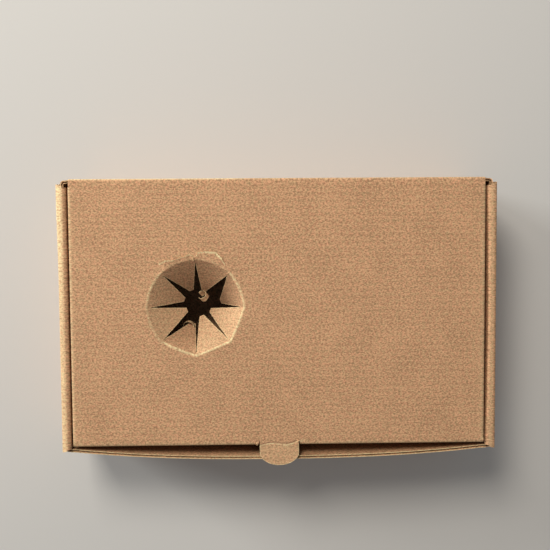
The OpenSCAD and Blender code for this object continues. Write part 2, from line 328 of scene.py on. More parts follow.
def stations(low, high, step, fine=()):
    """Places from low to high about a step apart, with CREASE_STEPS faces across each fine
    stretch."""
    marks = sorted({low, high, *(end for stretch in fine for end in stretch)})
    places = [low]
    for start, end in zip(marks, marks[1:]):
        creased = any(abs(start - a) < HAIR and abs(end - b) < HAIR for a, b in fine)
        count = CREASE_STEPS if creased else max(1, round((end - start) / step))
        places += [start + (end - start) * i / count for i in range(1, count + 1)]
    return places


def blank(columns, rows):
    """A flat sheet with its edges at these places."""
    bm = bmesh.new()
    bmesh.ops.create_grid(bm, x_segments=len(columns) - 1, y_segments=len(rows) - 1, size=0.5)
    for vert in bm.verts:
        vert.co.x = columns[round((vert.co.x + 0.5) * (len(columns) - 1))]
        vert.co.y = rows[round((vert.co.y + 0.5) * (len(rows) - 1))]
    return bm


def faces_where(faces, test):
    """The faces whose middle passes a test of its two flat places."""
    return [face for face in faces if test(*face.calc_center_median().xy)]


def split(bm, faces, point, normal):
    """Cuts faces along a line, and gives back all that they are then."""
    edges = dict.fromkeys(edge for face in faces for edge in face.edges)
    verts = dict.fromkeys(vert for edge in edges for vert in edge.verts)
    normal = Vector((*normal, 0)).normalized()
    cut = bmesh.ops.bisect_plane(
        bm, geom=[*faces, *edges, *verts], dist=HAIR, plane_co=(*point, 0), plane_no=normal)
    return [item for item in cut["geom"] if isinstance(item, bmesh.types.BMFace)]


def remove(bm, faces):
    bmesh.ops.delete(bm, geom=faces, context="FACES")


def trim(bm, faces, point, outward):
    """Takes off what lies beyond a line, and gives back what is left of the faces."""
    faces = split(bm, faces, point, outward)
    beyond = dict.fromkeys(
        face for face in faces
        if (face.calc_center_median().xy - Vector(point)).dot(Vector(outward)) > 0)
    left = [face for face in faces if face not in beyond]
    remove(bm, list(beyond))
    return left


def trim_corner(bm, faces, corner, before, after, radius, steps=5):
    """Rounds off a corner between two outward directions, given in degrees."""
    half = math.radians((after - before) / 2)
    middle = math.radians((after + before) / 2)
    reach = radius / math.cos(half)
    centre = Vector(corner) - reach * Vector((math.cos(middle), math.sin(middle)))
    for step in range(1, steps):
        angle = math.radians(before + (after - before) * step / steps)
        outward = Vector((math.cos(angle), math.sin(angle)))
        faces = trim(bm, faces, centre + radius * outward, outward)
    return faces


# Plies --------------------------------------------------------------------------------

def wave(v, layout):
    return np.sin(2 * np.pi * v / layout.pitch)


def ply_heights(ply, v, under, sizes, layout):
    """Height above the board's outer face of a ply's upper side, or of its underside."""
    swing = wave(v, layout)
    if ply == "outer":
        return sizes.flute_print * (swing - 1) / 2 - under * sizes.facing
    if ply == "inner":
        lift = sizes.flute_print * (1 + swing) / 2
        return lift - layout.board + (1 - under) * sizes.facing
    reach = layout.board / 2 - sizes.facing - sizes.fluting / 2
    return reach * swing - layout.board / 2 + (0.5 - under) * sizes.fluting


def thicken(bm):
    """Gives a flat sheet an underside one unit down, and its rim its own material."""
    bmesh.ops.triangulate(bm, faces=[face for face in bm.faces if len(face.verts) > 4])
    raised = bmesh.ops.extrude_face_region(bm, geom=list(bm.faces))
    for item in raised["geom"]:
        if isinstance(item, bmesh.types.BMVert):
            item.co.z = -1
    bmesh.ops.recalc_face_normals(bm, faces=list(bm.faces))
    rim = []
    for face in bm.faces:
        heights = {round(vert.co.z) for vert in face.verts}
        if len(heights) > 1:
            face.material_index = 1
            rim.append(face)
    return {vert for face in rim for vert in face.verts}


def fray(verts, amount, seams):
    """Lets the rim of a sheet stray a little, but not where it joins another sheet."""
    noise.seed_set(FRAY_SEED)
    for vert in verts:
        if seams(vert.co.x, vert.co.y):
            continue
        place = Vector((vert.co.x, vert.co.y, 0)) / FRAY_SIZE
        stray = noise.noise_vector(place) + 0.6 * noise.noise_vector(place * 2.7)
        vert.co.x += amount * stray.x
        vert.co.y += amount * stray.y


def board_mesh(name, lobes, ply, sizes, layout):
    """One ply of several lobes of board. Each lobe is (blank maker, fold, seams, wear and painted
    light).
    """
    parts = []
    for make, fold, seams, paint_wear_and_light in lobes:
        bm = make(ply, layout)
        rim = thicken(bm)
        if ply != "fluting":
            fray(rim, sizes.fray, seams)
        part = bpy.data.meshes.new(name)
        bm.to_mesh(part)
        bm.free()
        flat = np.zeros(len(part.vertices) * 3)
        part.vertices.foreach_get("co", flat)
        u, v, under = flat.reshape(-1, 3).T
        w = ply_heights(ply, v, -under, sizes, layout)
        places = np.stack(fold(u, v, w, layout), axis=1)
        part.vertices.foreach_set("co", places.ravel())
        kept = part.attributes.new("flat", "FLOAT_VECTOR", "POINT")
        kept.data.foreach_set("vector", np.stack([u, v, w], axis=1).astype(np.float32).ravel())
        # per point: pale wear along edges and painted highlights above 0, painted shade below 0
        worn = part.attributes.new("worn", "FLOAT", "POINT")
        worn.data.foreach_set("value", paint_wear_and_light(u, v, layout).astype(np.float32))
        parts.append(part)
    bm = bmesh.new()
    for part in parts:
        bm.from_mesh(part)
        bpy.data.meshes.remove(part)
    for edge in bm.edges:
        edge.smooth = edge.calc_face_angle(0) < SHARP
    for face in bm.faces:
        face.smooth = True
    mesh = bpy.data.meshes.new(name)
    bm.to_mesh(mesh)
    bm.free()
    mesh.update()
    return mesh


def place(name, mesh, materials):
    """Puts a mesh in the scene under a name, with its materials."""
    piece = bpy.data.objects.new(name, mesh)
    for material in materials:
        mesh.materials.append(material)
    bpy.context.scene.collection.objects.link(piece)
    return piece


# Tray ---------------------------------------------------------------------------------

def side_legs(layout):
    """The side wall's section: up from the base, over the top and down inside."""
    wall = layout.top - 2 * layout.crease
    return ((layout.crease, 90), (wall, 0), (layout.crease, 90), (SIDE_TURN, 0),
            (layout.crease, 90), (wall, 0))


def side_blank(ply, layout):
    """Base and both side walls, flat."""
    turn = layout.crease_length(90)
    wall = layout.top - 2 * layout.crease
    rise = layout.side_at + turn
    over = rise + wall
    across = over + turn
    down = across + SIDE_TURN
    inner = down + turn
    foot = inner + layout.top - layout.crease - layout.board - LOCK_GAP
    tip = inner + layout.top - layout.crease - LOCK_GAP
    creases = ((layout.side_at, rise), (over, across), (down, inner))
    half = stations(0, tip, 9 * MM, creases)
    columns = [-u for u in reversed(half)] + half[1:]
    step = layout.pitch / (FLUTING_ROWS if ply == "fluting" else FACING_ROWS)
    bm = blank(columns, stations(layout.wall_low, layout.wall_high, step))
    base = faces_where(bm.faces, lambda u, v: abs(u) < layout.side_at)
    base = trim(bm, base, (0, layout.base_rear), (0, 1))
    base = trim(bm, base, (0, layout.base_front), (0, -1))
    middle = (layout.wall_low + layout.wall_high) / 2
    for side in (-1, 1):
        for end in (-1, 1):
            edge = middle + end * (layout.wall_high - middle)
            rolled = faces_where(
                bm.faces, lambda u, v: side * u > over and end * (v - middle) > 0)
            run = inner - over
            rolled = trim(bm, rolled, (side * over, edge), (side * SIDE_SLANT, end * run))
            inside = faces_where(rolled, lambda u, v: side * u > down)
            trim(bm, inside, (0, edge - end * SIDE_SLANT), (0, end))
            face = layout.y_rear if end > 0 else layout.y_front
            layer = faces_where(bm.faces, lambda u, v: side * u > inner and end * (v - middle) > 0)
            trim(bm, layer, (0, face - end * layout.corner), (0, end))
        feet = faces_where(bm.faces, lambda u, v: side * u > inner + 30 * MM)
        feet = split(bm, feet, (side * foot, 0), (1, 0))
        for end in (-1, 1):
            for stop in (-0.5, 0.5):
                lock_edge = middle + end * LOCK_PITCH / 2 + stop * LOCK_WIDTH
                feet = split(bm, feet, (0, lock_edge), (0, 1))
        remove(bm, faces_where(
            feet, lambda u, v: side * u > foot
            and abs(abs(v - middle) - LOCK_PITCH / 2) > LOCK_WIDTH / 2))
    return cut_slots(bm, middle, layout)


def cut_slots(bm, middle, layout):
    """Slots in the base for the locking tabs."""
    start = layout.x_inner - LOCK_GAP
    stop = layout.x_inner + layout.board + LOCK_GAP
    near = faces_where(bm.faces, lambda u, v: start - 9 * MM < abs(u) < layout.side_at)
    for u in (-stop, -start, start, stop):
        near = split(bm, near, (u, 0), (1, 0))
    half = LOCK_WIDTH / 2 + LOCK_GAP
    for end in (-1, 1):
        for stop_at in (-half, half):
            near = split(bm, near, (0, middle + end * LOCK_PITCH / 2 + stop_at), (0, 1))
    remove(bm, faces_where(
        near, lambda u, v: start < abs(u) < stop and abs(abs(v - middle) - LOCK_PITCH / 2) < half))
    return bm


def fold_side(u, v, w, layout):
    """Base flat, side walls up, over and down. The right wall's inner layer is pressed outwards."""
    x, y, z = u.copy(), v.copy(), -w
    wall = np.abs(u) > layout.side_at
    on, up = along_fold(np.abs(u[wall]) - layout.side_at, w[wall], layout.board, side_legs(layout))
    x[wall] = np.sign(u[wall]) * (layout.side_at + on)
    z[wall] = up
    middle = (layout.wall_low + layout.wall_high) / 2
    depth = np.clip(1 - np.abs((y - middle) / STRIP_PRESS_HALF) ** 2, 0, 1)
    past_crease = layout.x_side - layout.crease - x
    high = z - layout.top / 2
    rolled = ease(past_crease / PRESS_EASE) * ease(high / PRESS_RISE)
    inner = wall & (u > 0)
    x[inner] += (STRIP_PRESS * depth * rolled)[inner]
    flare = SIDE_FLARE * ease((y - FLARE_FROM) / FLARE_RUN) * ease(high / FLARE_RISE)
    flare *= ease((np.abs(x) - layout.x_side + FLARE_DEPTH) / FLARE_EASE)
    x[wall & (u < 0)] -= flare[wall & (u < 0)]
    crown = ease((z - layout.top + CROWN_DEPTH) / CROWN_EASE)
    from_ridge = np.abs(x) - (layout.x_side - STRIP_RIDGE)
    for side in (-1, 1):
        here = wall & (np.sign(u) == side)
        slope = np.where(from_ridge > 0, STRIP_DROP[side], -STRIP_DIP[side])
        z[here] -= (crown * (slope * from_ridge))[here]
    return x, y, z


def side_painted_highlight(u, v, layout):
    """Painted highlights: the left wall's top is painted pale as far as its ridge, more so towards
    the rear, and the right one along its ridge.
    """
    over = np.abs(u) - layout.side_at - layout.crease_length(90) - layout.top + 2 * layout.crease
    along = 0.42 + 0.26 * ease((v - 5 * MM) / (40 * MM))
    left = along * ease(over / (0.8 * MM) + 0.6) * ease((3.1 * MM - over) / (0.6 * MM))
    right = 0.3 * ease(1 - np.abs(over - 2.3 * MM) / (1.2 * MM))
    return np.where(u < 0, left, right)


def end_blank(ply, layout, top, hollow):
    """An end wall with its two dust flaps, flat, from the base's edge at 0 upwards."""
    lift = layout.crease_length(90) - layout.crease
    arc = layout.crease_length(90, layout.corner)
    flap = layout.x_end + arc
    tip = flap + DUST_LENGTH - layout.corner
    half = stations(0, tip, 2.5 * MM if hollow else 6 * MM, ((layout.x_end, flap),))
    columns = [-u for u in reversed(half)] + half[1:]
    step = layout.pitch / (FLUTING_ROWS if ply == "fluting" else FACING_ROWS)
    crown = max(top, layout.dust_top) + lift
    rows = stations(0, crown, step, ((0, layout.crease + lift),))
    bm = blank(columns, rows)
    if hollow and ply == "fluting":
        top -= EDGE_HOLLOW
    join = layout.x_end if hollow else layout.x_lid - 1.3 * MM
    wall = split(bm, list(bm.faces), (join, 0), (1, 0))
    wall = split(bm, wall, (-join, 0), (1, 0))
    trim(bm, faces_where(bm.faces, lambda u, v: abs(u) < join), (0, top + lift), (0, 1))
    for side in (-1, 1):
        out = 0 if side > 0 else 180
        flaps = faces_where(bm.faces, lambda u, v: side * u > join)
        flaps = trim(bm, flaps, (0, layout.dust_top + lift), (0, 1))
        flaps = faces_where(flaps, lambda u, v: side * u > layout.x_end)
        flaps = trim(bm, flaps, (0, layout.dust_foot + lift), (0, -1))
        flaps = faces_where(flaps, lambda u, v: side * u > flap)
        reach = tip - flap
        high, low = layout.dust_top + lift, layout.dust_foot + lift
        flaps = trim(bm, flaps, (side * flap, high), (side * DUST_TAPER, reach))
        flaps = trim(bm, flaps, (side * flap, low), (side * DUST_TAPER, -reach))
        lean = math.degrees(math.atan2(reach, DUST_TAPER))
        upper = (side * tip, high - DUST_TAPER)
        lower = (side * tip, low + DUST_TAPER)
        turns = (lean, -lean) if side > 0 else (180 - lean, 180 + lean)
        flaps = trim_corner(bm, flaps, upper, out, turns[0], DUST_ROUND)
        trim_corner(bm, flaps, lower, out, turns[1], DUST_ROUND)
    return bm


def fold_end(u, v, w, layout, end):
    """Folds an end wall up from the base's edge, and its dust flaps round the corners."""
    edge = layout.base_front if end < 0 else layout.base_rear
    face = layout.y_front if end < 0 else layout.y_rear
    wall = layout.top
    on, z = along_fold(v, w, layout.board, ((layout.crease, 90), (wall, 0)))
    x, y = u.copy(), edge + end * on
    round_corner = (np.abs(u) > layout.x_end) & (v > layout.crease)
    out, back = along_fold(
        np.abs(u[round_corner]) - layout.x_end, w[round_corner], layout.board,
        ((layout.corner, 90), (DUST_LENGTH, 0)))
    x[round_corner] = np.sign(u[round_corner]) * (layout.x_end + out)
    y[round_corner] = face - end * back
    return x, y, z


# Pales the facing along the front wall's top edge.
def front_edge_pale(u, v, layout):
    edge = layout.front_top + layout.crease_length(90) - layout.crease
    return 0.6 * ease(1 - np.abs(v - edge) / (0.8 * MM))


def rear_wear(u, v, layout):
    return np.zeros_like(u)


def front_blank(ply, layout):
    return end_blank(ply, layout, layout.front_top, True)


def fold_front(u, v, w, layout):
    x, y, z = fold_end(u, v, w, layout, -1)
    bow = layout.front_bow * (1 - np.minimum(np.abs(x / layout.x_bow), 1) ** BOW_FULLNESS)
    rise = np.clip((z - layout.crease) / (layout.front_top - layout.crease), 0, 1)
    wall = np.abs(u) < layout.x_bow
    y[wall] -= (bow * rise)[wall]
    return x, y, z


def rear_blank(ply, layout):
    return end_blank(ply, layout, layout.hinge_tray, False)


def fold_rear(u, v, w, layout):
    x, y, z = fold_end(u, v, w, layout, 1)
    wall = np.abs(u) < layout.x_lid
    y[wall] += rear_swell(y, z, layout)[wall]
    return x, y, z


def rear_swell(y, z, layout):
    """The rear wall swells a little towards the lid's fold."""
    back = ease((y - layout.hinge_lid) / (layout.base_rear - layout.hinge_lid))
    return REAR_SWELL * back * ease((z - 0.5 * layout.top) / (0.4 * layout.top))


# Lid ----------------------------------------------------------------------------------

def lid_blank(ply, layout):
    """Lid panel, wings, tuck-in flap, thumb tab and star, flat."""
    turn = layout.crease_length(90)
    wing = layout.wing_at + turn
    tip = wing + WING_DEPTH - layout.crease
    dip = layout.crease_length(90 + TUCK_LEAN)
    flap = layout.lid_front - dip
    foot = flap - (TUCK_DEPTH - layout.crease)
    half = stations(0, tip, 6 * MM, ((layout.wing_at, wing),))
    columns = [-u for u in reversed(half)] + half[1:]
    step = layout.pitch / (FLUTING_ROWS if ply == "fluting" else FACING_ROWS)
    bm = blank(columns, stations(foot, layout.hinge_lid, step, ((flap, layout.lid_front),)))
    end = layout.x_lid - TUCK_INSET
    for side in (-1, 1):
        out = 0 if side > 0 else 180
        front = faces_where(bm.faces, lambda u, v: v < layout.lid_front and side * u > 0)
        front = trim(bm, front, (side * end, 0), (side, 0))
        front = faces_where(front, lambda u, v: v < flap)
        front = trim(bm, front, (side * end, flap), (side * (flap - foot), -TUCK_TAPER))
        lean = math.degrees(math.atan2(-TUCK_TAPER, flap - foot))
        side_way = lean if side > 0 else 180 - lean
        trim_corner(
            bm, front, (side * (end - TUCK_TAPER), foot), side_way, -90 if side > 0 else 270,
            TUCK_ROUND)
        wings = faces_where(bm.faces, lambda u, v: side * u > wing)
        reach = tip - wing
        wings = trim(bm, wings, (side * wing, layout.lid_front), (-side * WING_SLANT, -reach))
        wings = trim(bm, wings, (side * wing, layout.hinge_lid), (side * WING_SLANT / 3, reach))
        slope = math.degrees(math.atan2(-reach, -WING_SLANT))
        rear_slope = math.degrees(math.atan2(reach, WING_SLANT / 3))
        fore = slope if side > 0 else 180 - slope
        rear = rear_slope if side > 0 else 180 - rear_slope
        wings = trim_corner(
            bm, wings, (side * tip, layout.lid_front + WING_SLANT), out, fore, WING_ROUND)
        trim_corner(
            bm, wings, (side * tip, layout.hinge_lid - WING_SLANT / 3), out, rear, 0.6 * WING_ROUND)
    cut_tab(bm, layout)
    cut_star(bm, layout)
    return bm


def tab_shape(u, v, margin, layout):
    """Below 1 inside the thumb tab's outline, with a margin round it, and above 1 outside."""
    half, end = layout.tab_half + margin, layout.tab_round + margin
    if v > layout.tab_straight:
        return abs(u) / half
    return math.hypot(u / half, (v - layout.tab_straight) / end)


def cut_tab(bm, layout):
    """Cuts the thumb tab free of the tuck-in flap, with straight sides and a rounded end."""
    half, end = layout.tab_half, layout.tab_round
    lowest = layout.tab_straight - 2 * end

    def nearby(highest):
        return faces_where(bm.faces, lambda u, v: lowest < v < highest and abs(u) < 2 * half)

    near = nearby(layout.lid_front)
    for u in np.linspace(-half, half, TAB_TURNS + 1)[1:-1]:
        near = split(bm, near, (u, 0), (1, 0))
    near = split(bm, near, (0, layout.tab_straight), (0, 1))
    centre = Vector((0, layout.tab_straight))
    angles = [math.pi * k / TAB_TURNS for k in range(TAB_TURNS + 1)]
    for margin in (-CUT_PALE, 0, TAB_CUT):
        corners = [centre + Vector((-(half + margin) * math.cos(a), -(end + margin) * math.sin(a)))
                   for a in angles]
        sides = faces_where(near, lambda u, v: v > layout.tab_straight)
        for u in (-half - margin, half + margin):
            sides = split(bm, sides, (u, 0), (1, 0))
        rounded = nearby(layout.tab_straight)
        for corner in corners[1:-1]:
            ray = corner - centre
            rounded = split(bm, rounded, centre, (-ray.y, ray.x))
        for a, b in zip(corners, corners[1:]):
            ray_a, ray_b = a - centre, b - centre
            wedge = faces_where(
                rounded, lambda u, v: ray_a.x * (v - centre.y) - ray_a.y * u > 0
                and ray_b.x * (v - centre.y) - ray_b.y * u < 0)
            way = b - a
            split(bm, wedge, a, (way.y, -way.x))
        near = nearby(layout.lid_front)
    remove(bm, faces_where(
        near, lambda u, v: tab_shape(u, v, 0, layout) > 1 > tab_shape(u, v, TAB_CUT, layout)))


def petal_place(u, v, number):
    """A point seen from the star's middle: how far out along a petal, and how far aside."""
    angle = 2 * math.pi * (number + 0.5) / PETALS
    du, dv = u - STAR_AT.x, v - STAR_AT.y
    return (du * math.cos(angle) + dv * math.sin(angle),
            dv * math.cos(angle) - du * math.sin(angle))


def petal_of(u, v):
    """Number of the petal, or of the part of the rim beyond it, that a point belongs to."""
    turn = np.arctan2(v - STAR_AT.y, u - STAR_AT.x) % (2 * np.pi)
    return np.floor(turn / (2 * np.pi) * PETALS).astype(int) % PETALS


def petal_bulge(aside, number, layout):
    """How far a petal's crease bows out from its chord."""
    chord = layout.star * math.sin(math.pi / PETALS)
    bow = np.clip(1 - (aside / chord) ** 2, 0, 1)
    return PETAL_ROUND[number] * (layout.star - layout.rim) * bow


def cut_star(bm, layout):
    """Cuts the star's slits, and gives the petals' creases a fine mesh."""
    reach = layout.star + 1.5 * MM
    near = faces_where(
        bm.faces, lambda u, v: abs(u - STAR_AT.x) < reach + 3 * MM and abs(v - STAR_AT.y) < reach)
    for offset in np.arange(-reach, reach, 1.3 * MM):
        near = split(bm, near, (STAR_AT.x + offset, 0), (1, 0))
    for number in range(PETALS // 2):
        angle = 2 * math.pi * number / PETALS
        across = Vector((-math.sin(angle), math.cos(angle)))
        near = split(bm, near, STAR_AT, across)
        for aside in (PETAL_CUT / 2, PETAL_CUT / 2 + CUT_PALE):
            for side in (-1, 1):
                near = split(bm, near, STAR_AT + side * aside * across, across)
    for number in range(PETALS):
        angle = 2 * math.pi * (number + 0.5) / PETALS
        outward = Vector((math.cos(angle), math.sin(angle)))
        sector = faces_where(
            [face for face in near if face.is_valid],
            lambda u, v: petal_of(u, v) == number)
        tip = STAR_AT + PETAL_TIP * outward
        fresh = split(bm, sector, tip, outward)
        for offset in PETAL_ROWS:
            fresh = split(bm, fresh, STAR_AT + (layout.rim - offset * MM) * outward, outward)
        near = [face for face in near if face.is_valid] + fresh
    remove(bm, list(dict.fromkeys(
        face for face in near if face.is_valid and in_slit(face, layout))))


def in_slit(face, layout):
    """Whether a face lies in one of the star's cuts, or within the ring of petal tips."""
    u, v = face.calc_center_median().xy
    number = int(petal_of(u, v))
    out, aside = petal_place(u, v, number)
    if math.hypot(out, aside) > SLIT_END:
        return False
    slope = math.tan(math.pi / PETALS)
    gap = (out * slope - abs(aside)) * math.cos(math.pi / PETALS)
    return out < PETAL_TIP or gap < PETAL_CUT / 2


def fold_lid(u, v, w, layout):
    """Wings and tuck-in flap down, petals in, and the thumb tab left flat."""
    x, y, z = u.copy(), v.copy(), layout.top + w
    wing = np.abs(u) > layout.wing_at
    on, down = along_fold(
        np.abs(u[wing]) - layout.wing_at, w[wing], layout.board,
        ((layout.crease, 90), (WING_DEPTH, 0)))
    x[wing] = np.sign(u[wing]) * (layout.wing_at + on)
    z[wing] = layout.top - down
    in_tab = np.array([tab_shape(a, b, TAB_CUT / 2, layout) < 1 for a, b in zip(u, v)])
    tuck_end = layout.x_lid - TUCK_INSET + 0.2 * MM
    tuck = (v < layout.lid_front) & (np.abs(u) < tuck_end) & ~in_tab
    on, down = along_fold(
        layout.lid_front - v[tuck], w[tuck], layout.board,
        ((layout.crease, 90 + TUCK_LEAN), (TUCK_DEPTH, 0)))
    y[tuck] = layout.lid_front - on
    z[tuck] = layout.top - down
    fold_petals(x, y, z, u, v, w, layout)
    return x, y, z


def fold_petals(x, y, z, u, v, w, layout):
    """Pushes the petals in, each creased between its chord and the star's circle. Beyond the
    ends of the cuts the petals hang together, so there they turn in like a cone."""
    owner = petal_of(u, v)
    for number in range(PETALS):
        out, aside = petal_place(u, v, number)
        radius = np.hypot(out, aside)
        bulge = petal_bulge(aside, number, layout)
        past = layout.rim + bulge - out
        within = (owner == number) & (radius < layout.star)
        out, aside, radius, past, high = (part[within] for part in (out, aside, radius, past, w))
        on, down = petal_section(past, high, PETAL_PUSH[number], layout)
        chord_out = np.where(past > 0, layout.rim + bulge[within] - on, out)
        chord_down = np.where(past > 0, down, -high)
        edge = np.abs(aside) / (out * math.tan(math.pi / PETALS))
        joined = ease((edge - 0.35) / 0.65) * ease((radius - SLIT_END + 3.5 * MM) / (3.5 * MM))
        neighbour = (number + np.where(aside > 0, 1, -1)) % PETALS
        push = (PETAL_PUSH[number] + np.array(PETAL_PUSH)[neighbour]) / 2
        cone_out, cone_down = np.empty_like(out), np.empty_like(out)
        for amount in set(push):
            same = push == amount
            on, down = petal_section(layout.star - radius[same], high[same], amount, layout)
            cone_out[same] = layout.star - on
            cone_down[same] = down
        strayed = aside + PETAL_SKEW[number] * np.maximum(past - layout.crease, 0)
        side = strayed * (1 - joined) + aside / radius * cone_out * joined
        new_out = chord_out * (1 - joined) + out / radius * cone_out * joined
        angle = 2 * math.pi * (number + 0.5) / PETALS
        x[within] = STAR_AT.x + new_out * math.cos(angle) - side * math.sin(angle)
        y[within] = STAR_AT.y + new_out * math.sin(angle) + side * math.cos(angle)
        z[within] = layout.top - chord_down * (1 - joined) - cone_down * joined


def petal_section(past, w, push, layout):
    """A petal's section: its crease, and then the blade, which curves a little."""
    legs = ((layout.crease, push - PETAL_SAG),
            (layout.rim / math.radians(PETAL_SAG), PETAL_SAG), (layout.rim, 0))
    return along_fold(past, w, layout.board, legs)


def lid_wear_and_painted_light(u, v, layout):
    """Pale creases and cut edges; painted highlights on the creases of the tab and the petals, a
    painted shadow line behind the tab's crease, painted shade round the tab, and painted light and
    shade on the petals.
    """
    worn = 0.3 * ease(1 - np.abs(np.abs(u) - layout.wing_at - 0.7 * MM) / (0.9 * MM))
    in_tab = np.abs(u) < layout.tab_half + 0.6 * MM
    crease = 0.3 * ease(1 - np.abs(v - layout.lid_front + 0.9 * MM) / (0.9 * MM))
    worn = np.maximum(worn, np.where(in_tab, 0, crease))
    # The tab's wavy crease: a painted highlight on its ridge, and a painted shadow line just behind
    # it.
    ripple = np.interp(u / MM, *TAB_WAVE) * MM
    line = v - layout.y_lid - TAB_LINE - ripple
    pale = 0.9 * ease(1 - np.abs(line) / (0.45 * MM))
    dark = -0.8 * ease(1 - np.abs(line - 0.65 * MM) / (0.5 * MM))
    worn = np.where(in_tab, np.maximum(worn, pale) + dark, worn)
    around = np.array([tab_shape(a, b, 0, layout) for a, b in zip(u, v)])
    # The tab's cut outline: pale bare fibres together with a painted highlight where the raised
    # edge catches the light.
    rim = (np.abs(around - 1) < 0.02) & (v < layout.lid_front - 1.5 * MM)
    worn[rim] = 1.0
    # Painted shade in the tuck-in flap's hole just outside the tab.
    worn[(around > 1.02) & (around < 1.12) & (v < layout.lid_front - 1 * MM)] = -0.9
    worn[(around < 0.98) & (v < layout.lid_front - 1.5 * MM) & (worn == 0)] = 0.12
    owner = petal_of(u, v)
    for number in range(PETALS):
        out, aside = petal_place(u, v, number)
        mine = (owner == number) & (np.hypot(out, aside) < layout.star + 1 * MM)
        past = layout.rim + petal_bulge(aside, number, layout) - out
        # painted highlight along each petal's crease, stronger where the crease faces the lamps
        crease = PETAL_CREASE_HIGHLIGHT[number] * ease(1 - np.abs(past - 0.25 * MM) / (0.6 * MM))
        gap = (out * math.tan(math.pi / PETALS) - np.abs(aside)) * math.cos(math.pi / PETALS)
        cut = 0.7 * ease(1 - (gap - PETAL_CUT / 2) / CUT_PALE) * (np.hypot(out, aside) < SLIT_END)
        # painted light and shade on each petal's blade, standing in for how it faces the lamps
        tone = PETAL_PAINTED_LIGHT_AND_SHADE[number] * ease((past - 0.4 * MM) / (0.8 * MM))
        line = np.maximum(crease, cut)
        worn[mine] = np.where(line > np.abs(tone), line, tone)[mine]
    return worn


# Hinge crease -------------------------------------------------------------------------

def hinge_blank(ply, layout):
    """The strip of board round the lid's rear fold, flat, as wide as the lid's fold."""
    turn = layout.crease_length(90)
    half = layout.x_lid - 0.5 * MM
    start, end = layout.base_rear, layout.base_rear + turn
    rows = stations(layout.hinge_lid, end + layout.board, 0.4 * MM, ((start, end),))
    return blank(stations(-half, half, 6 * MM), rows)


def fold_hinge(u, v, w, layout):
    on, down = along_fold(v - layout.base_rear, w, layout.board, ((layout.crease, 90), (1, 0)))
    y, z = layout.base_rear + on, layout.top - down
    return u.copy(), y + rear_swell(y, z, layout), z


def hinge_painted_highlight(u, v, layout):
    """The lid's rear fold gets a pale painted highlight, most on its left half."""
    turn = v - layout.base_rear
    left = 1 - ease((u + 22 * MM) / (8 * MM))
    band = ease((turn - 0.6 * MM) / (0.5 * MM)) * ease((2.4 * MM - turn) / (0.6 * MM))
    return (0.3 + 0.6 * left) * band


# Torn paper ---------------------------------------------------------------------------

def paper(name, columns, rows, bend, worn):
    """A thin torn sheet. bend places its points, from their column, their row and their side."""
    bm = blank(columns, rows)
    thicken(bm)
    mesh = bpy.data.meshes.new(name)
    flat = np.array([vert.co for vert in bm.verts])
    places = bend(flat[:, 0], flat[:, 1], flat[:, 2])
    for vert, place_at in zip(bm.verts, places):
        vert.co = place_at
    bmesh.ops.recalc_face_normals(bm, faces=list(bm.faces))
    for face in bm.faces:
        face.smooth = True
    for edge in bm.edges:
        edge.smooth = edge.calc_face_angle(0) < SHARP
    bm.to_mesh(mesh)
    bm.free()
    kept = mesh.attributes.new("flat", "FLOAT_VECTOR", "POINT")
    kept.data.foreach_set("vector", places.astype(np.float32).ravel())
    torn_edge_pale = mesh.attributes.new("worn", "FLOAT", "POINT")
    torn_edge_pale.data.foreach_set("value", worn(flat[:, 0], flat[:, 1]).astype(np.float32))
    return mesh


def curl_mesh(name, origin, start, heading, across, width, length, turn):
    """A strip of torn facing that rolls up more and more tightly."""
    across = Vector(across).normalized()
    heading = Vector(heading)
    heading = (heading - heading.dot(across) * across).normalized()
    up = heading.cross(across)
    steps = [length * MM * i / 24 for i in range(25)]
    wide = [width * MM * (i / 4 - 0.5) for i in range(5)]

    def bend(along, over, side):
        share = along / (length * MM)
        turned = math.radians(turn) * share ** 1.25
        path = np.linspace(0, 1, 241)
        angle = math.radians(turn) * path ** 1.25
        on = np.concatenate([[0], np.cumsum(np.cos(angle[1:]))]) * length * MM / 240
        aside = np.concatenate([[0], np.cumsum(np.sin(angle[1:]))]) * length * MM / 240
        ragged = 1 - 0.35 * share + 0.12 * np.sin(share * 19)
        thick = side * TEAR_SHEET
        x_on = np.interp(share, path, on) - thick * np.sin(turned)
        x_up = np.interp(share, path, aside) + thick * np.cos(turned)
        spread = over * ragged
        return (np.array(origin + Vector(start) * MM) + np.outer(x_on, heading)
                + np.outer(x_up, up) + np.outer(spread, across))

    def worn(along, over):
        rim = ease(np.abs(over) / (width * MM / 2) - 0.25)
        return 0.15 + 0.8 * rim * (0.6 + 0.4 * np.sin(along / MM * 3))

    return paper(name, steps, wide, bend, worn)


def tear_mesh(name, origin, edge, layout):
    """Facing torn loose beyond the star's circle, lifted along its ragged edge."""
    edge = np.array(edge) * MM
    share = np.linspace(0, 1, len(edge))
    steps = [i / 60 for i in range(61)]
    deep = [0, 0.25, 0.5, 0.72, 0.86, 0.94, 1]

    def bend(along, out, side):
        far = np.stack([np.interp(along, share, edge[:, axis]) for axis in (0, 1)], axis=1)
        ragged = np.array([noise.noise(Vector((a * 17, 3.1, 0))) for a in along])
        fine = np.array([noise.noise(Vector((a * 55, 7.7, 0))) for a in along])
        angle = np.arctan2(far[:, 1], far[:, 0])
        radius = np.hypot(far[:, 0], far[:, 1]) + (0.45 * ragged + 0.3 * fine) * MM
        near = layout.star - 0.3 * MM
        reach = near + (np.maximum(radius, near + 0.4 * MM) - near) * out
        ends = ease(along * 6) * ease((1 - along) * 6)
        lift = (0.42 * out ** 1.5 * ends + 0.03) * MM * (1 + 0.5 * ragged)
        z = lift + side * TEAR_SHEET * (0.25 + 0.75 * ends)
        return np.stack([origin.x + reach * np.cos(angle), origin.y + reach * np.sin(angle),
                         origin.z + z], axis=1)

    def worn(along, out):
        return np.where(out > 0.8, 1.0, 0.0)

    return paper(name, steps, deep, bend, worn)


# Finishes -----------------------------------------------------------------------------

